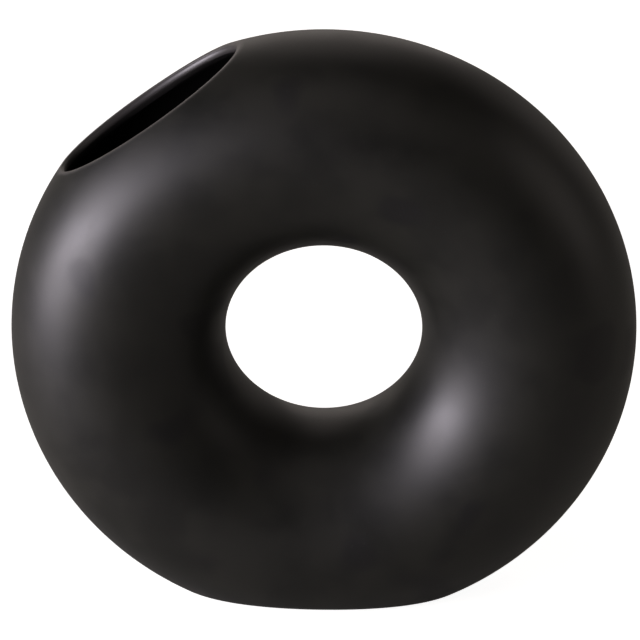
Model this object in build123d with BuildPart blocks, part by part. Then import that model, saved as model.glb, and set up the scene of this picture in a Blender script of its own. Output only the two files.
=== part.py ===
"""Donut vase: a hollow stoneware ring that stands upright on a flat foot, with an oval mouth sliced
across its upper left shoulder. Two moulded half rings, front and back, are luted together with slip
round the outside wall and round the hole. A gloss glaze lines the hollow so that it holds water, and
four stick-on pads keep the bare foot off the furniture.

Millimetres and degrees. +Z is up, the ring's axis lies along Y and the front faces -Y. The origin is
on the surface that the vase stands on, straight below the ring's centre.
"""

import os
from math import cos, radians, sin, sqrt

from build123d import *

# Ring: a round tube bent into a circle
ring_radius = 92.0  # centre-line of the tube
tube_radius = 48.0  # outside of the tube
wall = 5.0

# Foot: the flat that the ring is cut to, with a shallow recess inside a standing band
foot_cut = 16.0  # depth of tube that the flat takes off
foot_rounding = 10.0  # edge between the tube and the foot
floor_thickness = 6.0
foot_band = 10.0  # width of the standing band
recess_depth = 1.5

# Mouth: a plane that slices the outside of the tube
mouth_turn = 37.0  # from the top of the ring towards -X
mouth_lean = 3.9  # backwards, towards +Y
mouth_cut = 9.25  # depth of tube that the plane takes off
lip_outer_rounding = 1.4
lip_inner_rounding = 1.8
lip_side_flat = 0.4  # left between the roundings at the front and the back
lip_lower_flat = 0.3  # and at the lower end of the oval
lip_upper_flat = 1.5  # and at its upper end

# Luted joint between the halves, glaze inside and pads below
seam_thickness = 1.0
glaze_thickness = 0.5
pad_diameter = 8.0
pad_thickness = 1.2
pad_angle = 40.0  # round the standing band, from its long axis

cut_overrun = 2.0  # how far a cutting shape runs past what it cuts

# Levels and the ring's axis
foot_height = pad_thickness
floor_height = foot_height + floor_thickness
foot_drop = ring_radius + tube_radius - foot_cut
ring_height = foot_height + foot_drop
ring_axis = Axis((0, 0, ring_height), (0, 1, 0))

# Plane of the mouth, centred on the oval that it slices from the tube
turn = radians(mouth_turn)
lean = radians(mouth_lean)
backward = Vector(0, 1, 0)
outward = Vector(-sin(turn), 0, cos(turn))
along_mouth = Vector(cos(turn), 0, sin(turn))
mouth_normal = outward * cos(lean) + backward * sin(lean)
tube_centre = Vector(0, 0, ring_height) + outward * ring_radius
mouth_rise = tube_radius - mouth_cut
mouth_plane = Plane(
    origin=tube_centre + mouth_normal * mouth_rise,
    x_dir=along_mouth,
    z_dir=mouth_normal,
)

# The lip's flat starts where the outer rounding ends, and the clear opening is that oval less the lip
lip_core_radius = tube_radius - lip_outer_rounding
lip_core_rise = mouth_rise - lip_outer_rounding
lip_reach = ring_radius + sqrt(lip_core_radius**2 - (lip_core_rise * sin(lean)) ** 2)
lip_half_length = sqrt(lip_reach**2 - (ring_radius + lip_core_rise * cos(lean)) ** 2)
lip_half_width = sqrt(lip_core_radius**2 - lip_core_rise**2)
mouth_half_length = lip_half_length - (lip_lower_flat + lip_upper_flat) / 2 - lip_inner_rounding
mouth_half_width = lip_half_width - lip_side_flat - lip_inner_rounding
mouth_offset = (lip_lower_flat - lip_upper_flat) / 2

# The foot's flat oval, inside its rounded edge
foot_reach = ring_radius + tube_radius - foot_rounding
foot_level = foot_drop - foot_rounding
foot_half_length = sqrt(foot_reach**2 - foot_level**2)
foot_half_width = sqrt((tube_radius - foot_rounding) ** 2 - (foot_level - ring_radius) ** 2)


def ring_form(inset, floor):
    """The upright ring, drawn in all round by inset, cut flat at floor and rounded there."""
    with BuildPart() as form:
        with BuildSketch(Plane.XY.offset(ring_height)):
            with Locations((-ring_radius, 0)):
                Circle(tube_radius - inset)
        revolve(axis=ring_axis)
        split(bisect_by=Plane.XY.offset(floor), keep=Keep.TOP)
        foot_edges = form.faces().sort_by(Axis.Z)[0].edges()
        fillet(foot_edges, foot_rounding - inset)
    return form.part


def hollow_form(skin):
    """The space inside the clay that a coat of skin leaves: the ring's cavity and the mouth's throat."""
    cavity = ring_form(wall + skin, floor_height + skin)
    with BuildPart() as form:
        add(cavity)
        with BuildSketch(mouth_plane.offset(cut_overrun)):
            with Locations((mouth_offset, 0)):
                Ellipse(mouth_half_length - skin, mouth_half_width - skin)
        extrude(amount=-cut_overrun - mouth_rise)
    return form.part


# Clay ring, whole: sliced at the mouth, hollowed, recessed under the foot and rounded at the lip
ring_blank = ring_form(0, foot_height)
clay_hollow = hollow_form(0)
with BuildPart() as clay_ring:
    add(ring_blank)
    split(bisect_by=mouth_plane, keep=Keep.BOTTOM)
    lip_face = clay_ring.faces().sort_by(Axis(mouth_plane.origin, mouth_normal))[-1]
    fillet(lip_face.edges(), lip_outer_rounding)
    add(clay_hollow, mode=Mode.SUBTRACT)
    lip_face = clay_ring.faces().sort_by(Axis(mouth_plane.origin, mouth_normal))[-1]
    fillet(lip_face.inner_wires()[0].edges(), lip_inner_rounding)
    with BuildSketch(Plane.XY.offset(foot_height - cut_overrun)):
        Ellipse(foot_half_length - foot_band, foot_half_width - foot_band)
    extrude(amount=cut_overrun + recess_depth, mode=Mode.SUBTRACT)

# The halves stop short of the mid-plane by half the luted joint; Plane.XZ faces the front
front_joint = Plane.XZ.offset(seam_thickness / 2)
back_joint = Plane.XZ.offset(-seam_thickness / 2)

# Front half ring
with BuildPart() as front_shell:
    add(clay_ring.part)
    split(bisect_by=front_joint, keep=Keep.TOP)
front_shell.part.label = "front_shell"

# Back half ring
with BuildPart() as back_shell:
    add(clay_ring.part)
    split(bisect_by=back_joint, keep=Keep.BOTTOM)
back_shell.part.label = "back_shell"

# Luted joint between them: a band round the hole, and a band round the outside that the mouth interrupts
with BuildPart() as whole_seam:
    add(clay_ring.part)
    split(bisect_by=front_joint, keep=Keep.BOTTOM)
    split(bisect_by=back_joint, keep=Keep.TOP)

with BuildPart() as inner_seam:
    add(whole_seam.part)
    with Locations(Location((0, 0, ring_height), (90, 0, 0))):
        Cylinder(ring_radius, seam_thickness + cut_overrun, mode=Mode.INTERSECT)
inner_seam.part.label = "inner_seam"

with BuildPart() as outer_seam:
    add(whole_seam.part)
    with Locations(Location((0, 0, ring_height), (90, 0, 0))):
        Cylinder(ring_radius, seam_thickness + cut_overrun, mode=Mode.SUBTRACT)
outer_seam.part.label = "outer_seam"

# Gloss glaze that lines the hollow, up to the rounding of the lip
glazed_hollow = hollow_form(glaze_thickness)
with BuildPart() as glaze_lining:
    add(clay_hollow)
    add(glazed_hollow, mode=Mode.SUBTRACT)
    split(bisect_by=mouth_plane.offset(-lip_inner_rounding), keep=Keep.BOTTOM)
glaze_lining.part.label = "glaze_lining"

# Stick-on pads on the standing band
pad_x = (foot_half_length - foot_band / 2) * cos(radians(pad_angle))
pad_y = (foot_half_width - foot_band / 2) * sin(radians(pad_angle))
with BuildPart() as foot_pads:
    with BuildSketch(Plane.XY):
        with GridLocations(2 * pad_x, 2 * pad_y, 2, 2):
            Circle(pad_diameter / 2)
    extrude(amount=pad_thickness)
foot_pads.part.label = "foot_pads"

os.makedirs("parts", exist_ok=True)
for piece in (front_shell, back_shell, inner_seam, outer_seam, glaze_lining, foot_pads):
    export_step(piece.part, f"parts/{piece.part.label}.step")
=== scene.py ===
"""Donut vase: a satin black stoneware ring on a flat foot, with an oval mouth sliced across one shoulder.

Metres. +Z is up, the ring's axis lies along Y and the front faces -Y. The file follows the making: the
clay ring in its outer glaze, the glaze poured inside it, the pads under its foot, and then the studio.
"""

from math import cos, pi, radians, sin, sqrt

import bpy
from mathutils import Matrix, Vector


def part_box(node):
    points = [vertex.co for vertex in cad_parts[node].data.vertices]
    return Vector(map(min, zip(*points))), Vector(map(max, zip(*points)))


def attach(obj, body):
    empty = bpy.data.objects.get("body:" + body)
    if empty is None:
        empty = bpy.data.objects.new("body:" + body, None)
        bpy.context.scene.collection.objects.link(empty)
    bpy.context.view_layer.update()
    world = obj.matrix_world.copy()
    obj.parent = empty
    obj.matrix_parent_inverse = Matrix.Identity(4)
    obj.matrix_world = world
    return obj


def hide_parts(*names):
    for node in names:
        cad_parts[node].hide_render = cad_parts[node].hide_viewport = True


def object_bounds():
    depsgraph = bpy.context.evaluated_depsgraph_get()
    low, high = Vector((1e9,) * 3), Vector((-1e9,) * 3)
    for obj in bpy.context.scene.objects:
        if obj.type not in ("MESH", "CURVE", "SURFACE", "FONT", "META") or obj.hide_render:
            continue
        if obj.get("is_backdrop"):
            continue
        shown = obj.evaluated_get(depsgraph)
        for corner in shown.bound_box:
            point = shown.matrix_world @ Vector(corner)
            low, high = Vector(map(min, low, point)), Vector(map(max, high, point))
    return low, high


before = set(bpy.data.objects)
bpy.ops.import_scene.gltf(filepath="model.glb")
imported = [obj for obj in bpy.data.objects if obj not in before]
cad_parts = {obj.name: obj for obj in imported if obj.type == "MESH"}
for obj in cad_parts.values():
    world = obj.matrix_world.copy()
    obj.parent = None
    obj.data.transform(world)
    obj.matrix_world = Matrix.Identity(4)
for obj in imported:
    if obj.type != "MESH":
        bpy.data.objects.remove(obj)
cad_low, cad_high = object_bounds()


# Clay ring: two press-moulded stoneware halves, luted with slip and fettled until no joint shows, then
# sliced flat for the foot and across one shoulder for the mouth. One satin black glaze covers it all but
# the standing band and recess of the foot, which are wiped bare before firing.
ring_radius = 0.092
tube_radius = 0.048
wall = 0.005
ring_height = cad_high.z - ring_radius - tube_radius

mouth_turn = radians(37.0)
mouth_direction = radians(90) + mouth_turn
mouth_lean = radians(3.9)
mouth_cut = 0.00925
mouth_rise = tube_radius - mouth_cut
lip_outer_rounding = 0.0014
lip_inner_rounding = 0.0012
lip_roll_depth = 0.0030
lip_side_flat = 0.0004
lip_lower_flat = 0.0003
lip_upper_flat = 0.0015
lip_core_radius = tube_radius - lip_outer_rounding
lip_core_rise = mouth_rise - lip_outer_rounding
lip_reach = ring_radius + sqrt(lip_core_radius**2 - (lip_core_rise * sin(mouth_lean)) ** 2)
lip_half_length = sqrt(lip_reach**2 - (ring_radius + lip_core_rise * cos(mouth_lean)) ** 2)
lip_half_width = sqrt(lip_core_radius**2 - lip_core_rise**2)
mouth_half_length = lip_half_length - (lip_lower_flat + lip_upper_flat) / 2 - lip_inner_rounding
mouth_half_width = lip_half_width - lip_side_flat - lip_inner_rounding
mouth_shift = (lip_upper_flat - lip_lower_flat) / 2
throat_flare = 0.0006
throat_half_width = mouth_half_width + throat_flare
throat_rise = sqrt((tube_radius - wall) ** 2 - throat_half_width**2)

foot_direction = radians(270)
foot_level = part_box("foot_pads")[1].z
foot_rise = ring_height - ring_radius - foot_level
foot_rounding = 0.010
foot_band = 0.010
foot_core_radius = tube_radius - foot_rounding
foot_core_rise = foot_rise - foot_rounding
foot_half_length = sqrt((ring_radius + foot_core_radius) ** 2 - (ring_radius + foot_core_rise) ** 2)
foot_half_width = sqrt(foot_core_radius**2 - foot_core_rise**2)
recess_depth = 0.0015
recess_rounding = 0.0005
floor_thickness = 0.006

outward_swell = 0.05
hand_unevenness = 0.00012
hand_waves_per_metre = 14.0
hand_seed = 3.7

ring_columns = 224
tube_rows = 112
first_column_turn = radians(18.35)
lip_edge_rows = 6
lip_flat_rows = 2
lip_roll_rows = 10
throat_rows = 3
floor_edge_rows = 6
foot_edge_rows = 10
foot_band_rows = 3
recess_edge_rows = 2
recess_wall_rows = 1
weld_distance = 0.00004
sharpest_smooth_edge = radians(35)


class Wire:
    """An output socket of a node tree. Sums on it add Math nodes, and add() adds any other node."""

    def __init__(self, tree, socket=None):
        self.tree = tree
        self.socket = socket

    def add(self, kind, settings=None, sockets=None, output=0):
        """A new node: its settings first, then the values or links of its sockets. Returns one output."""
        node = self.tree.nodes.new(kind)
        for name, value in (settings or {}).items():
            setattr(node, name, value)
        for name, value in (sockets or {}).items():
            for one in value if isinstance(value, list) else [value]:
                if isinstance(one, Wire):
                    self.tree.links.new(one.socket, node.inputs[name])
                else:
                    node.inputs[name].default_value = one
        return Wire(self.tree, node.outputs[output])

    def also(self, output):
        """Another output of the same node."""
        return Wire(self.tree, self.socket.node.outputs[output])

    def feed(self, socket):
        self.tree.links.new(self.socket, socket)

    def math(self, operation, *others):
        return self.add("ShaderNodeMath", {"operation": operation}, dict(enumerate([self, *others])))

    def __add__(self, other):
        return self.math("ADD", other)

    def __sub__(self, other):
        return self.math("SUBTRACT", other)

    def __rsub__(self, other):
        return self * -1 + other

    def __mul__(self, other):
        return self.math("MULTIPLY", other)

    def __truediv__(self, other):
        return self.math("DIVIDE", other)

    def __lt__(self, other):
        return self.math("LESS_THAN", other)

    def __gt__(self, other):
        return self.math("GREATER_THAN", other)

    def __abs__(self):
        return self.math("ABSOLUTE")

    __radd__ = __add__
    __rmul__ = __mul__

    def sin(self):
        return self.math("SINE")

    def cos(self):
        return self.math("COSINE")

    def ramp(self, start, end):
        """0 at start and 1 at end, with a smooth step between them."""
        limits = {"Value": self, "From Min": start, "From Max": end}
        return self.add("ShaderNodeMapRange", {"interpolation_type": "SMOOTHSTEP"}, limits)

    def vector(self, x, y, z):
        return self.add("ShaderNodeCombineXYZ", None, {"X": x, "Y": y, "Z": z})

    def split(self):
        parts = self.add("ShaderNodeSeparateXYZ", None, {"Vector": self})
        return parts, parts.also("Y"), parts.also("Z")

    def times(self, factor):
        return self.add("ShaderNodeVectorMath", {"operation": "SCALE"}, {"Vector": self, "Scale": factor})

    def plus(self, other, factor):
        """This vector and so many times another one."""
        return self.add("ShaderNodeVectorMath", {"operation": "ADD"}, {0: self, 1: other.times(factor)})

    def towards(self, other, share):
        """The vector at a share of the way to another one."""
        ends = {"Factor": share, 4: self, 5: other}
        return self.add("ShaderNodeMix", {"data_type": "VECTOR"}, ends, 1)

    def unit(self):
        return self.add("ShaderNodeVectorMath", {"operation": "NORMALIZE"}, {"Vector": self})


def new_tree(name, labels):
    """A Geometry Nodes tree with a named number input for each label, and those inputs as wires."""
    tree = bpy.data.node_groups.new(name, "GeometryNodeTree")
    for label in labels:
        tree.interface.new_socket(label, in_out="INPUT", socket_type="NodeSocketFloat")
    entry = tree.nodes.new("NodeGroupInput")
    return tree, {label: Wire(tree, entry.outputs[label]) for label in labels}


def end_tree(tree, results):
    """Gives the tree a named output for each result."""
    kinds = {"VALUE": "NodeSocketFloat", "VECTOR": "NodeSocketVector", "GEOMETRY": "NodeSocketGeometry"}
    for label, wire in results.items():
        tree.interface.new_socket(label, in_out="OUTPUT", socket_type=kinds[wire.socket.type])
    way_out = tree.nodes.new("NodeGroupOutput")
    for label, wire in results.items():
        wire.feed(way_out.inputs[label])


def node_group(function):
    """Makes a function on number wires one node group, which each of its calls then adds as a node."""
    labels = function.__code__.co_varnames[: function.__code__.co_argcount]
    tree, inputs = new_tree(function.__name__, labels)
    results = function(**inputs)
    end_tree(tree, results)

    def added(*values):
        base = next(value for value in values if isinstance(value, Wire))
        node = base.add("GeometryNodeGroup", {"node_tree": tree}, dict(zip(labels, values)))
        outputs = [node.also(label) for label in results]
        return outputs if len(outputs) > 1 else outputs[0]

    return added


@node_group
def ring_point(turn, roll, tube_radius, ring_radius, ring_height):
    """A point of the ring: turn goes round the ring, and roll round its tube."""
    reach = ring_radius + tube_radius * roll.cos()
    height = ring_height + reach * turn.sin()
    return {"Point": turn.vector(reach * turn.cos(), tube_radius * roll.sin(), height)}


@node_group
def cut_axes(direction, lean):
    """Unit vectors of a flat cut: out of it, along it and across it."""
    outward = lean.vector(direction.cos() * lean.cos(), lean.sin(), direction.sin() * lean.cos())
    along = lean.vector(direction.sin() * -1, 0.0, direction.cos())
    across = lean.vector(direction.cos() * lean.sin() * -1, lean.cos(), direction.sin() * lean.sin() * -1)
    return {"Outward": outward, "Along": along, "Across": across}


@node_group
def cut_rim(angle, radius, rise, rounding, ring_radius, direction, lean):
    """Turn and roll, at an angle round a cut, where the cut's rounded edge leaves the tube."""
    core = radius - rounding
    half = pi / 4 - angle * 0.5
    spread = ((rise - rounding) / core).math("ARCCOSINE")
    roll = lean + spread * angle.sin()
    reach = lean.cos() * (ring_radius + core * roll.cos())
    lift = core * (spread * half.cos() * half.cos()).sin() * (spread * half.sin() * half.sin()).sin()
    swing = (lift / reach).math("SQRT").math("ARCSINE") * angle.cos().math("SIGN")
    return {"Turn": direction + swing * 2, "Roll": roll}


@node_group
def cut_edge(angle, share, radius, rise, rounding, ring_radius, ring_height, direction, lean):
    """A point on a cut's rounded edge: share 0 on the tube, 1 on the flat."""
    turn, roll = cut_rim(angle, radius, rise, rounding, ring_radius, direction, lean)
    ball = ring_point(turn, roll, radius - rounding, ring_radius, ring_height)
    tube_outward = turn.vector(turn.cos() * roll.cos(), roll.sin(), turn.sin() * roll.cos())
    outward = cut_axes(direction, lean)[0]
    return {"Point": ball.plus(tube_outward.towards(outward, share).unit(), rounding)}


@node_group
def cut_oval(angle, half_length, half_width, depth, shift, rise, ring_radius, ring_height, direction, lean):
    """A point on an oval at a depth below a cut's flat, shifted along it."""
    outward, along, across = cut_axes(direction, lean)
    point = ring_point(direction, lean, 0.0, ring_radius, ring_height).plus(outward, rise - depth)
    point = point.plus(along, angle.cos() * half_length + shift)
    return {"Point": point.plus(across, angle.sin() * half_width)}


@node_group
def hole_edge(angle, share, half_length, half_width, rounding, depth, cover, shift, rise, ring_radius,
              ring_height, direction, lean):
    """A point on or over an oval hole's edge, rolled in to a depth: share 0 on the flat, 1 on the wall."""
    outward, along, across = cut_axes(direction, lean)
    middle = cut_oval(angle, half_length + rounding, half_width + rounding, depth, shift,
                      rise, ring_radius, ring_height, direction, lean)
    inward = along.times(angle.cos() * half_width * -1).plus(across, angle.sin() * half_length * -1).unit()
    bend = share * (pi / 2)
    rolled = middle.plus(outward, bend.cos() * (depth + cover))
    return {"Point": rolled.plus(inward, bend.sin() * (rounding + cover))}


@node_group
def square_polar(across, up):
    """Angle and distance in a square of cells: the angle takes equal steps along the sides."""
    beside = pi / 4 * (up / across) + pi * (across < 0)
    above = pi / 2 - pi / 4 * (across / up) + pi * (up < 0)
    wide = abs(across) > abs(up)
    return {"Angle": beside * wide + above * (1 - wide), "Distance": abs(across).math("MAXIMUM", abs(up))}


def flat_grid(base, columns, rows):
    """A grid of unit size, and its places across and up as wires that run from 0 to 1."""
    counts = {"Size X": 1.0, "Size Y": 1.0, "Vertices X": columns + 1, "Vertices Y": rows + 1}
    grid = base.add("GeometryNodeMeshGrid", None, counts)
    across, up, _ = base.add("GeometryNodeInputPosition").split()
    return grid, across + 0.5, up + 0.5


def placed(shape, position):
    return shape.add("GeometryNodeSetPosition", None, {"Geometry": shape, "Position": position})


def flipped(shape):
    return shape.add("GeometryNodeFlipFaces", None, {"Mesh": shape})


def welded(shapes):
    whole = shapes[0].add("GeometryNodeJoinGeometry", None, {"Geometry": shapes})
    return whole.add("GeometryNodeMergeByDistance", None, {"Geometry": whole, "Distance": weld_distance})


def swelled(shape, size):
    """The shape with its tube a little fuller outside the ring's centre line and leaner inside it."""
    across, depth, height = shape.add("GeometryNodeInputPosition").split()
    rise = height - size["Ring Height"]
    reach = (across * across + rise * rise).math("SQRT")
    fuller = 1 + (reach - size["Ring Radius"]) * size["Swell Per Metre"]
    return placed(shape, across.vector(across, depth * fuller, height))


class Block:
    """A square block of the ring's grid cells at a cut: a hole, and cells that ease into its rim."""

    def __init__(self, turn, roll, hole_cells, eased_cells):
        self.column = round((turn - first_column_turn) % (2 * pi) / (2 * pi) * ring_columns)
        self.row = round((roll / (2 * pi) + 0.5) * tube_rows)
        self.turn = self.column / ring_columns * (2 * pi) + first_column_turn
        self.roll = (self.row / tube_rows - 0.5) * (2 * pi)
        self.hole_cells = hole_cells
        self.eased_share = eased_cells / hole_cells


class Cut:
    """A flat cut across the ring, at a rise from the middle of its tube, with a rounded edge."""

    def __init__(self, size, name, block, radius, rise, rounding):
        self.block = block
        self.shift = size.get(name + " Shift", 0.0)
        self.rounded = radius, rise, rounding
        self.rise = rise
        self.ring_radius = size["Ring Radius"]
        self.ring_height = size["Ring Height"]
        self.axes = size[name + " Direction"], size[name + " Lean"]

    def rim(self, angle):
        return cut_rim(angle, *self.rounded, self.ring_radius, *self.axes)

    def edge(self, angle, share):
        return cut_edge(angle, share, *self.rounded, self.ring_radius, self.ring_height, *self.axes)

    def tube_edge(self, angle):
        return self.edge(angle, 0.0)

    def flat_edge(self, angle):
        return self.edge(angle, 1.0)

    def oval(self, angle, half_length, half_width, depth):
        return cut_oval(angle, half_length, half_width, depth, self.shift, self.rise, self.ring_radius,
                        self.ring_height, *self.axes)

    def hole_edge(self, angle, share, half_length, half_width, rounding, depth, cover=0.0):
        return hole_edge(angle, share, half_length, half_width, rounding, depth, cover, self.shift,
                         self.rise, self.ring_radius, self.ring_height, *self.axes)

    def band(self, rows, point):
        """A closed band of faces round the cut, through points given by an angle and a share across it."""
        grid, angle_share, share = flat_grid(self.rise, 8 * self.block.hole_cells, rows)
        return placed(grid, point(angle_share * (2 * pi), share))

    def strip(self, rows, first_rim, second_rim):
        """A band of straight lines between two rims, whose points are given by an angle."""
        return self.band(rows, lambda angle, share: first_rim(angle).towards(second_rim(angle), share))

    def disc(self, rim, depth=0.0):
        """A patch that closes a rim, whose points are given by an angle, at a depth below the flat."""
        grid, across, up = flat_grid(self.rise, 2 * self.block.hole_cells, 2 * self.block.hole_cells)
        angle, distance = square_polar(across * 2 - 1, up * 2 - 1)
        return placed(grid, self.oval(0.0, 0.0, 0.0, depth).towards(rim(angle), distance))


def ring_skin(radius, cuts, unevenness=None):
    """The ring's surface with a hole at each cut, on a grid that eases into the holes' rims."""
    grid, turn_share, roll_share = flat_grid(radius, ring_columns, tube_rows)
    turn = turn_share * (2 * pi) + first_column_turn
    roll = (roll_share - 0.5) * (2 * pi)
    calm = 1
    for cut in cuts:
        block = cut.block
        across = (turn_share * ring_columns - block.column) / block.hole_cells
        up = (roll_share * tube_rows - block.row) / block.hole_cells
        angle, distance = square_polar(across, up)
        hole = {"Geometry": grid, "Selection": distance < 1.0}
        grid = grid.add("GeometryNodeDeleteGeometry", {"domain": "FACE"}, hole)
        rim_turn, rim_roll = cut.rim(angle)
        ease = ((distance - 1.0) / (block.eased_share - 1.0)).math("MINIMUM", 1.0)
        stretch = distance.math("MAXIMUM", block.eased_share) / distance
        turn = rim_turn + ((turn - block.turn) * stretch + block.turn - rim_turn) * ease
        roll = rim_roll + ((roll - block.roll) * stretch + block.roll - rim_roll) * ease
        calm = ease.ramp(0.0, 1.0) * calm
    ring = cuts[0].ring_radius, cuts[0].ring_height
    if unevenness:
        wave = grid.add("ShaderNodeTexNoise", {"noise_dimensions": "4D"}, {
            "Vector": ring_point(turn, roll, radius, *ring),
            "W": hand_seed,
            "Scale": hand_waves_per_metre,
            "Detail": 1.0,
        })
        radius = radius + (wave - 0.5) * calm * unevenness * 2
    return placed(grid, ring_point(turn, roll, radius, *ring))


def plain_piece(name, sizes, shape, material):
    """Ends a shape's tree, runs it on its sizes and keeps the result as a plain mesh."""
    smooth = shape.add("GeometryNodeSetShadeSmooth", None, {"Geometry": shape})
    sharp = shape.add("GeometryNodeInputMeshEdgeAngle") > sharpest_smooth_edge
    edges = {"Geometry": smooth, "Selection": sharp, "Shade Smooth": False}
    smooth = shape.add("GeometryNodeSetShadeSmooth", {"domain": "EDGE"}, edges)
    whole = shape.add("GeometryNodeRealizeInstances", None, {"Geometry": smooth})
    whole = shape.add("GeometryNodeSetMaterial", None, {"Geometry": whole, "Material": material})
    end_tree(shape.tree, {"Geometry": whole})
    piece = bpy.data.objects.new(name, bpy.data.meshes.new(name))
    bpy.context.scene.collection.objects.link(piece)
    modifier = piece.modifiers.new(name, "NODES")
    modifier.node_group = shape.tree
    for item in shape.tree.interface.items_tree:
        if item.in_out == "INPUT":
            modifier[item.identifier] = sizes[item.name]
    evaluated = piece.evaluated_get(bpy.context.evaluated_depsgraph_get())
    mesh = bpy.data.meshes.new_from_object(evaluated)
    mesh.materials.clear()
    mesh.materials.append(material)
    piece.modifiers.clear()
    piece.data = mesh
    return piece


def new_finish(name):
    """A new material, its shader, and a wire with the piece's Object coordinates."""
    material = bpy.data.materials.new(name)
    material.use_nodes = True
    place = Wire(material.node_tree).add("ShaderNodeTexCoord", output="Object")
    return material, material.node_tree.nodes["Principled BSDF"], place


def noise(place, scale, detail, roughness=0.5):
    settings = {"Vector": place, "Scale": scale, "Detail": detail, "Roughness": roughness}
    return place.add("ShaderNodeTexNoise", None, settings)


def tint(share, first, second):
    """A colour at a share of the way from one colour to another."""
    return share.add("ShaderNodeMix", {"data_type": "RGBA"}, {"Factor": share, 6: first, 7: second}, 2)


def height_over(place, middle, normal):
    """How far a place is above a plane."""
    offset = place.add("ShaderNodeVectorMath", {"operation": "SUBTRACT"}, {0: place, 1: middle})
    return place.add("ShaderNodeVectorMath", {"operation": "DOT_PRODUCT"}, {0: offset, 1: normal}, 1)


def satin_black_glaze(mouth_middle, mouth_normal):
    """Satin black glaze that breaks brown over the lip, and the bare dark clay of the foot."""
    thin_glaze = (0.0082, 0.0083, 0.0057, 1)
    deep_glaze = (0.0033, 0.0036, 0.0022, 1)
    smudge = (0.0010, 0.0010, 0.0008, 1)
    fleck = (0.018, 0.017, 0.015, 1)
    lip_break = (0.050, 0.047, 0.042, 1)
    dark_clay = (0.030, 0.025, 0.022, 1)
    pale_clay = (0.055, 0.047, 0.041, 1)
    clouds_per_metre = 38.0
    cloud_limits = 0.35, 0.65
    smudges_per_metre = 27.0
    smudge_limits = 0.62, 0.72
    specks_per_metre = 900.0
    fleck_limits = 0.62, 0.75
    fleck_strength = 0.4
    lip_breaks_per_metre = 160.0
    least_break = 0.4
    break_spread = 0.8
    break_start = -0.0008
    break_full = -0.0001
    wipe_marks_per_metre = 120.0
    wipe_wander = 0.0012
    wipe_top = foot_level + 0.0010
    wipe_bottom = foot_level + 0.0006
    clay_grains_per_metre = 700.0
    clay_grain_contrast = 0.7
    satin_roughness = 0.48
    cloud_roughness = 0.12
    speck_roughness = 0.06
    smudge_roughness = 0.04
    clay_roughness = 0.82
    glaze_ripples_per_metre = 420.0
    glaze_ripple = 0.35
    clay_pits_per_metre = 1500.0
    pit_depth = 0.00012
    pit_strength = 0.25
    material, shader, place = new_finish("satin_glaze")
    cloud = noise(place, clouds_per_metre, detail=3.0)
    speck = noise(place, specks_per_metre, detail=2.0)
    smudged = noise(place, smudges_per_metre, detail=1.0).ramp(*smudge_limits)
    glaze = tint(cloud.ramp(*cloud_limits), deep_glaze, thin_glaze)
    glaze = tint(smudged, glaze, smudge)
    glaze = tint(speck.ramp(*fleck_limits) * fleck_strength, glaze, fleck)
    uneven_break = noise(place, lip_breaks_per_metre, detail=3.0) * break_spread + least_break
    broken = height_over(place, mouth_middle, mouth_normal).ramp(break_start, break_full) * uneven_break
    glaze = tint(broken, glaze, lip_break)
    wipe_mark = noise(place, wipe_marks_per_metre, detail=3.0)
    wiped_height = place.split()[2] + (wipe_mark - 0.5) * wipe_wander
    bare = wiped_height.ramp(wipe_top, wipe_bottom)
    clay_grain = noise(place, clay_grains_per_metre, detail=4.0, roughness=clay_grain_contrast)
    clay = tint(clay_grain, dark_clay, pale_clay)
    tint(bare, glaze, clay).feed(shader.inputs["Base Color"])
    satin = satin_roughness + (cloud - 0.5) * cloud_roughness + (speck - 0.5) * speck_roughness
    satin = satin + smudged * smudge_roughness
    (satin + (clay_roughness - satin) * bare).feed(shader.inputs["Roughness"])
    ripples = noise(place, glaze_ripples_per_metre, detail=3.0) * (1 - bare) * glaze_ripple
    pits = noise(place, clay_pits_per_metre, detail=3.0) * bare
    bump = {"Strength": pit_strength, "Distance": pit_depth, "Height": ripples + pits}
    place.add("ShaderNodeBump", None, bump).feed(shader.inputs["Normal"])
    return material


mouth_block = Block(mouth_direction, mouth_lean, hole_cells=11, eased_cells=22)
foot_block = Block(foot_direction, 0, hole_cells=16, eased_cells=26)
body_sizes = {
    "Ring Radius": ring_radius,
    "Ring Height": ring_height,
    "Tube Radius": tube_radius,
    "Hollow Radius": tube_radius - wall,
    "Mouth Direction": mouth_direction,
    "Mouth Lean": mouth_lean,
    "Mouth Rise": mouth_rise,
    "Mouth Shift": mouth_shift,
    "Mouth Half Length": mouth_half_length,
    "Mouth Half Width": mouth_half_width,
    "Throat Rise": throat_rise,
    "Throat Rounding": 0.0,
    "Lip Outer Rounding": lip_outer_rounding,
    "Lip Inner Rounding": lip_inner_rounding,
    "Lip Roll Depth": lip_roll_depth,
    "Foot Direction": foot_direction,
    "Foot Lean": 0.0,
    "Foot Rise": foot_rise,
    "Foot Rounding": foot_rounding,
    "Recess Half Length": foot_half_length - foot_band,
    "Recess Half Width": foot_half_width - foot_band,
    "Recess Depth": recess_depth,
    "Recess Rounding": recess_rounding,
    "Floor Rise": foot_rise - floor_thickness,
    "Floor Rounding": foot_rounding - wall,
    "Hand Unevenness": hand_unevenness,
    "Swell Per Metre": outward_swell / tube_radius,
}
size = new_tree("clay_ring", body_sizes)[1]
mouth = Cut(size, "Mouth", mouth_block, size["Tube Radius"], size["Mouth Rise"], size["Lip Outer Rounding"])
throat = Cut(size, "Mouth", mouth_block, size["Hollow Radius"], size["Throat Rise"],
             size["Throat Rounding"])
foot = Cut(size, "Foot", foot_block, size["Tube Radius"], size["Foot Rise"], size["Foot Rounding"])
floor = Cut(size, "Foot", foot_block, size["Hollow Radius"], size["Floor Rise"], size["Floor Rounding"])
mouth_oval = size["Mouth Half Length"], size["Mouth Half Width"]
recess_oval = size["Recess Half Length"], size["Recess Half Width"]


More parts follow.
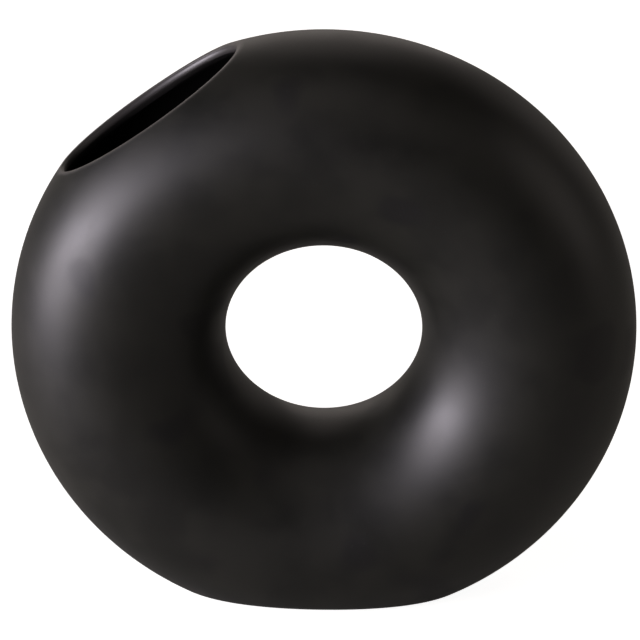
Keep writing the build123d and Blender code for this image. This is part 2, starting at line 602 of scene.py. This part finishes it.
def inner_lip(angle, share):
    return mouth.hole_edge(angle, share, *mouth_oval, size["Lip Inner Rounding"], size["Lip Roll Depth"])


def recess_edge(angle, share):
    return foot.hole_edge(angle, share, *recess_oval, size["Recess Rounding"], size["Recess Rounding"])


def recess_corner(angle):
    return foot.oval(angle, *recess_oval, size["Recess Depth"])


body_shape = welded([
    flipped(ring_skin(size["Tube Radius"], [mouth, foot], size["Hand Unevenness"])),
    flipped(mouth.band(lip_edge_rows, mouth.edge)),
    flipped(mouth.strip(lip_flat_rows, mouth.flat_edge, lambda angle: inner_lip(angle, 0.0))),
    flipped(mouth.band(lip_roll_rows, inner_lip)),
    flipped(mouth.strip(throat_rows, lambda angle: inner_lip(angle, 1.0), throat.tube_edge)),
    ring_skin(size["Hollow Radius"], [throat, floor]),
    floor.band(floor_edge_rows, floor.edge),
    floor.disc(floor.flat_edge),
    flipped(foot.band(foot_edge_rows, foot.edge)),
    flipped(foot.strip(foot_band_rows, foot.flat_edge, lambda angle: recess_edge(angle, 0.0))),
    flipped(foot.band(recess_edge_rows, recess_edge)),
    flipped(foot.strip(recess_wall_rows, lambda angle: recess_edge(angle, 1.0), recess_corner)),
    flipped(foot.disc(recess_corner, size["Recess Depth"])),
])
mouth_outward = Vector((cos(mouth_direction), 0, sin(mouth_direction)))
mouth_normal = mouth_outward * cos(mouth_lean)
mouth_normal.y = sin(mouth_lean)
mouth_middle = mouth_outward * ring_radius + mouth_normal * mouth_rise
mouth_middle.z += ring_height
body_finish = satin_black_glaze(mouth_middle, mouth_normal)
clay_ring = plain_piece("clay_ring", body_sizes, swelled(body_shape, size), body_finish)
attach(clay_ring, "root")
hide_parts("front_shell", "back_shell", "inner_seam", "outer_seam")


# Glaze lining: a gloss black glaze poured in through the mouth, swilled round the hollow and poured out
# again. It lies half a millimetre thick on the clay, and thins out where it was wiped off the rolled lip.
lining_thickness = 0.0005
wiped_share = 0.35
lined_radius = tube_radius - wall - lining_thickness
lining_sizes = {
    "Ring Radius": ring_radius,
    "Ring Height": ring_height,
    "Hollow Radius": tube_radius - wall,
    "Lined Radius": lined_radius,
    "Thickness": lining_thickness,
    "Mouth Direction": mouth_direction,
    "Mouth Lean": mouth_lean,
    "Mouth Rise": mouth_rise,
    "Mouth Shift": mouth_shift,
    "Mouth Half Length": mouth_half_length,
    "Mouth Half Width": mouth_half_width,
    "Throat Rise": throat_rise,
    "Lined Throat Rise": sqrt(lined_radius**2 - (throat_half_width - lining_thickness) ** 2),
    "Throat Rounding": 0.0,
    "Lip Inner Rounding": lip_inner_rounding,
    "Lip Roll Depth": lip_roll_depth,
    "Wiped Share": wiped_share,
    "Foot Direction": foot_direction,
    "Foot Lean": 0.0,
    "Floor Rise": foot_rise - floor_thickness,
    "Lined Floor Rise": foot_rise - floor_thickness - lining_thickness,
    "Floor Rounding": foot_rounding - wall,
    "Lined Floor Rounding": foot_rounding - wall - lining_thickness,
    "Swell Per Metre": outward_swell / tube_radius,
}
size = new_tree("glaze_lining", lining_sizes)[1]
mouth = Cut(size, "Mouth", mouth_block, size["Hollow Radius"], size["Mouth Rise"], size["Throat Rounding"])
throat = Cut(size, "Mouth", mouth_block, size["Hollow Radius"], size["Throat Rise"],
             size["Throat Rounding"])
floor = Cut(size, "Foot", foot_block, size["Hollow Radius"], size["Floor Rise"], size["Floor Rounding"])
lined_throat = Cut(size, "Mouth", mouth_block, size["Lined Radius"], size["Lined Throat Rise"],
                   size["Throat Rounding"])
lined_floor = Cut(size, "Foot", foot_block, size["Lined Radius"], size["Lined Floor Rise"],
                  size["Lined Floor Rounding"])


def on_lip(angle, share, cover=0.0):
    """A point on or over the lip's roll: share 0 where the glaze was wiped off, 1 on the throat."""
    roll_share = size["Wiped Share"] + (1 - size["Wiped Share"]) * share
    oval = size["Mouth Half Length"], size["Mouth Half Width"]
    roll = size["Lip Inner Rounding"], size["Lip Roll Depth"]
    return mouth.hole_edge(angle, roll_share, *oval, *roll, cover)


def over_lip(angle, share):
    """A point on the glaze's face over that roll, as thick on the throat as it is inside."""
    return on_lip(angle, share, (share * (pi / 2)).sin() * size["Thickness"])


def over_throat(angle):
    return on_lip(angle, 1.0, size["Thickness"])


def gloss_black_glaze(mouth_middle, mouth_normal):
    """Black glaze, deeper and glossier than the outside, that ran down and left the throat thin.
    Its paler colour near the mouth is partly painted light.
    """
    deep_black = (0.0030, 0.0029, 0.0028, 1)
    iron_fleck = (0.0075, 0.0068, 0.0062, 1)
    # Paler glaze near the mouth: partly glaze run thin, partly painted light falling in through the mouth.
    thin_glaze = (0.020, 0.018, 0.017, 1)
    runs_per_metre = 60.0
    flecks_per_metre = 700.0
    fleck_limits = 0.6, 0.75
    thin_start = -0.006
    thin_full = -0.001
    gloss_roughness = 0.43
    run_roughness = 0.12
    run_depth = 0.0006
    run_strength = 0.3
    material, shader, place = new_finish("gloss_glaze")
    run = noise(place, runs_per_metre, detail=2.0)
    flecked = noise(place, flecks_per_metre, detail=2.0).ramp(*fleck_limits)
    glaze = tint(flecked, deep_black, iron_fleck)
    # Paler near the mouth and darker deeper in the hollow: painted light that reaches in through the mouth,
    # on glaze that runs thin there.
    thin = height_over(place, mouth_middle, mouth_normal).ramp(thin_start, thin_full)
    tint(thin, glaze, thin_glaze).feed(shader.inputs["Base Color"])
    (gloss_roughness + (run - 0.5) * run_roughness).feed(shader.inputs["Roughness"])
    bump = {"Strength": run_strength, "Distance": run_depth, "Height": run}
    place.add("ShaderNodeBump", None, bump).feed(shader.inputs["Normal"])
    return material


lining_shape = welded([
    flipped(ring_skin(size["Hollow Radius"], [throat, floor])),
    flipped(mouth.strip(throat_rows, throat.tube_edge, lambda angle: on_lip(angle, 1.0))),
    mouth.band(lip_roll_rows, on_lip),
    flipped(mouth.band(lip_roll_rows, over_lip)),
    flipped(mouth.strip(throat_rows, over_throat, lined_throat.tube_edge)),
    ring_skin(size["Lined Radius"], [lined_throat, lined_floor]),
    lined_floor.band(floor_edge_rows, lined_floor.edge),
    lined_floor.disc(lined_floor.flat_edge),
    flipped(floor.band(floor_edge_rows, floor.edge)),
    flipped(floor.disc(floor.flat_edge)),
])
lining_finish = gloss_black_glaze(mouth_middle, mouth_normal)
glaze_inside = plain_piece("glaze_inside", lining_sizes, swelled(lining_shape, size), lining_finish)
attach(glaze_inside, "root")
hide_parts("glaze_lining")


# Foot pads: four black rubber pads, punched from self-adhesive sheet and pressed onto the bare standing
# band. Their outer edge is eased, so that they slide without marking the shelf.
pad_low, pad_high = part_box("foot_pads")
pad_radius = 0.004
pad_eased_edge = 0.0003
pad_sides = 48
pad_rings = 8
pad_sizes = {
    "Pad Radius": pad_radius,
    "Pad Thickness": pad_high.z - pad_low.z,
    "Eased Edge": pad_eased_edge,
    "Length Between": pad_high.x - pad_low.x - 2 * pad_radius,
    "Width Between": pad_high.y - pad_low.y - 2 * pad_radius,
}
size = new_tree("foot_pads", pad_sizes)[1]


def pad_rubber():
    """Matte black rubber with the fine grain of its sheet."""
    fresh_rubber = (0.022, 0.022, 0.022, 1)
    dusty_rubber = (0.040, 0.038, 0.036, 1)
    grains_per_metre = 2500.0
    dust_marks_per_metre = 300.0
    dust_limits = 0.35, 0.75
    rubber_roughness = 0.78
    grain_roughness = 0.2
    grain_depth = 0.00006
    grain_strength = 0.5
    material, shader, place = new_finish("sheet_rubber")
    grain = noise(place, grains_per_metre, detail=3.0)
    dust = noise(place, dust_marks_per_metre, detail=2.0).ramp(*dust_limits)
    tint(dust, fresh_rubber, dusty_rubber).feed(shader.inputs["Base Color"])
    (rubber_roughness + (grain - 0.5) * grain_roughness).feed(shader.inputs["Roughness"])
    bump = {"Strength": grain_strength, "Distance": grain_depth, "Height": grain}
    place.add("ShaderNodeBump", None, bump).feed(shader.inputs["Normal"])
    return material


# The pad's outline has four parts: over the top, down the side, round the eased edge, under the pad.
outline_parts = 4
grid, angle_share, outline_share = flat_grid(size["Pad Radius"], pad_sides, outline_parts * pad_rings)
angle = angle_share * (2 * pi)
passed = [outline_share * outline_parts - part for part in range(outline_parts)]
over, down, eased, under = [part.math("MINIMUM", 1.0).math("MAXIMUM", 0.0) for part in passed]
bend = eased * (pi / 2)
inner_radius = size["Pad Radius"] - size["Eased Edge"]
reach = over * size["Pad Radius"] + (bend.cos() - 1) * size["Eased Edge"] - under * inner_radius
height = size["Pad Thickness"] - down * (size["Pad Thickness"] - size["Eased Edge"])
height = height - bend.sin() * size["Eased Edge"]
one_pad = welded([flipped(placed(grid, angle.vector(reach * angle.cos(), reach * angle.sin(), height)))])
pad_places = size["Pad Radius"].add("GeometryNodeMeshGrid", None, {
    "Size X": size["Length Between"],
    "Size Y": size["Width Between"],
    "Vertices X": 2,
    "Vertices Y": 2,
})
copies = {"Points": pad_places, "Instance": one_pad}
pads_shape = pad_places.add("GeometryNodeInstanceOnPoints", None, copies)
pads = plain_piece("rubber_pads", pad_sizes, pads_shape, pad_rubber())
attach(pads, "root")
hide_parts("foot_pads")


# Studio floor: a sheet of white paper that runs out past the view. The camera sees it at paper white,
# less the shadow of the vase, and the glaze sees it much dimmer.
paper_half_width = 20.0
paper_shade = (0.61, 0.60, 0.545, 1)
paper_glow = 0.93
paper_gloss_glow = 0.030
paper_sides = [(-1, -1), (1, -1), (1, 1), (-1, 1)]
paper_corners = [(x * paper_half_width, y * paper_half_width, 0) for x, y in paper_sides]
paper_mesh = bpy.data.meshes.new("paper_floor")
paper_mesh.from_pydata(paper_corners, [], [(0, 1, 2, 3)])
paper_floor = bpy.data.objects.new("paper_floor", paper_mesh)
bpy.context.scene.collection.objects.link(paper_floor)


def white_paper():
    """White paper that glows for the rays that show it as a background."""
    material = bpy.data.materials.new("white_paper")
    material.use_nodes = True
    material.node_tree.nodes.clear()
    ray = Wire(material.node_tree).add("ShaderNodeLightPath", output="Is Camera Ray")
    seen = (ray + ray.also("Is Transmission Ray")) * paper_glow
    glow = seen + ray.also("Is Glossy Ray") * paper_gloss_glow
    lit = ray.add("ShaderNodeBsdfDiffuse", None, {"Color": paper_shade})
    glowing = ray.add("ShaderNodeEmission", None, {"Strength": glow})
    both = ray.add("ShaderNodeAddShader", None, {0: lit, 1: glowing})
    both.feed(material.node_tree.nodes.new("ShaderNodeOutputMaterial").inputs["Surface"])
    return material


paper_mesh.materials.append(white_paper())
paper_floor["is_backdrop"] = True


# Lamps: a wide softbox, low on the left and well away, does the work, and a scrim beside it softens its
# edge. Dim panels behind, on the right and above keep the far side of the ring from going quite black.
lamp_distance = 3.0
watts_per_square_metre = 4
light_middle = Vector((0, 0, ring_height))
flash_white = (1.0, 0.93, 1.03)
wall_white = (1.0, 0.90, 0.84)


def hang_lamp(name, azimuth, elevation, width, height, brightness, colour):
    """An area lamp that faces the vase: azimuth 0 is the camera's side, and minus is to the left."""
    light = bpy.data.lights.new(name, "AREA")
    light.shape = "RECTANGLE"
    light.size = width
    light.size_y = height
    light.energy = watts_per_square_metre * width * height * brightness
    light.color = colour
    sideways = radians(azimuth)
    upwards = radians(elevation)
    towards = Vector((sin(sideways) * cos(upwards), -cos(sideways) * cos(upwards), sin(upwards)))
    lamp = bpy.data.objects.new(name, light)
    lamp.location = light_middle + towards * lamp_distance
    lamp.rotation_euler = towards.to_track_quat("Z", "Y").to_euler()
    lamp.visible_camera = False
    bpy.context.scene.collection.objects.link(lamp)


hang_lamp("softbox", -70, 5, width=2.07, height=0.74, brightness=24.0, colour=flash_white)
hang_lamp("scrim", -37, 13, width=1.05, height=1.20, brightness=1.1, colour=flash_white)
hang_lamp("back_panel", -168, 14, width=2.90, height=1.40, brightness=0.76, colour=wall_white)
hang_lamp("back_right_panel", 143, 16, width=1.60, height=1.70, brightness=0.26, colour=wall_white)
hang_lamp("right_panel", 86, 20, width=1.90, height=1.90, brightness=0.63, colour=wall_white)
hang_lamp("high_back_panel", 180, 45, width=1.50, height=1.50, brightness=0.50, colour=wall_white)
hang_lamp("high_front_panel", 24, 47, width=1.50, height=1.50, brightness=0.31, colour=wall_white)
hang_lamp("top_panel", 0, 75, width=1.50, height=1.50, brightness=0.52, colour=wall_white)


# Room: a plain room round the paper. It is white where the camera looks past the floor, and dim to the
# glaze and to everything else.
room_light = 0.01
room_gloss_glow = 0.01
room = bpy.data.worlds.new("room")
room.use_nodes = True
bpy.context.scene.world = room
ray = Wire(room.node_tree).add("ShaderNodeLightPath", output="Is Camera Ray")
seen = (ray + ray.also("Is Transmission Ray")) * (1 - room_light)
shine = ray.also("Is Glossy Ray") * (room_gloss_glow - room_light)
(room_light + seen + shine).feed(room.node_tree.nodes["Background"].inputs["Strength"])
room.node_tree.nodes["Background"].inputs["Color"].default_value = (1, 1, 1, 1)


# Camera: a long lens, well back, that looks down on the ring from the front. It has the slight tilt of
# the photograph.
camera_lens = 450
camera_sensor = 36
camera_distance = 3.583
camera_elevation = radians(24.13)
camera_tilt = radians(0.82)
aim_left = 0.0018
aim_up = 0.0036
camera_aim = Vector((-aim_left, 0, ring_height + aim_up))
camera = bpy.data.objects.new("camera", bpy.data.cameras.new("camera"))
camera.data.lens = camera_lens
camera.data.sensor_width = camera_sensor
backwards = Vector((0, -cos(camera_elevation), sin(camera_elevation)))
camera.location = camera_aim + backwards * camera_distance
camera.rotation_euler = backwards.to_track_quat("Z", "Y").to_euler()
camera.rotation_euler.rotate_axis("Z", camera_tilt)
bpy.context.scene.collection.objects.link(camera)
bpy.context.scene.camera = camera
bpy.context.scene.view_settings.view_transform = "Standard"

visual_low, visual_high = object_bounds()
boxes = {"cad": [list(cad_low), list(cad_high)], "visual": [list(visual_low), list(visual_high)]}
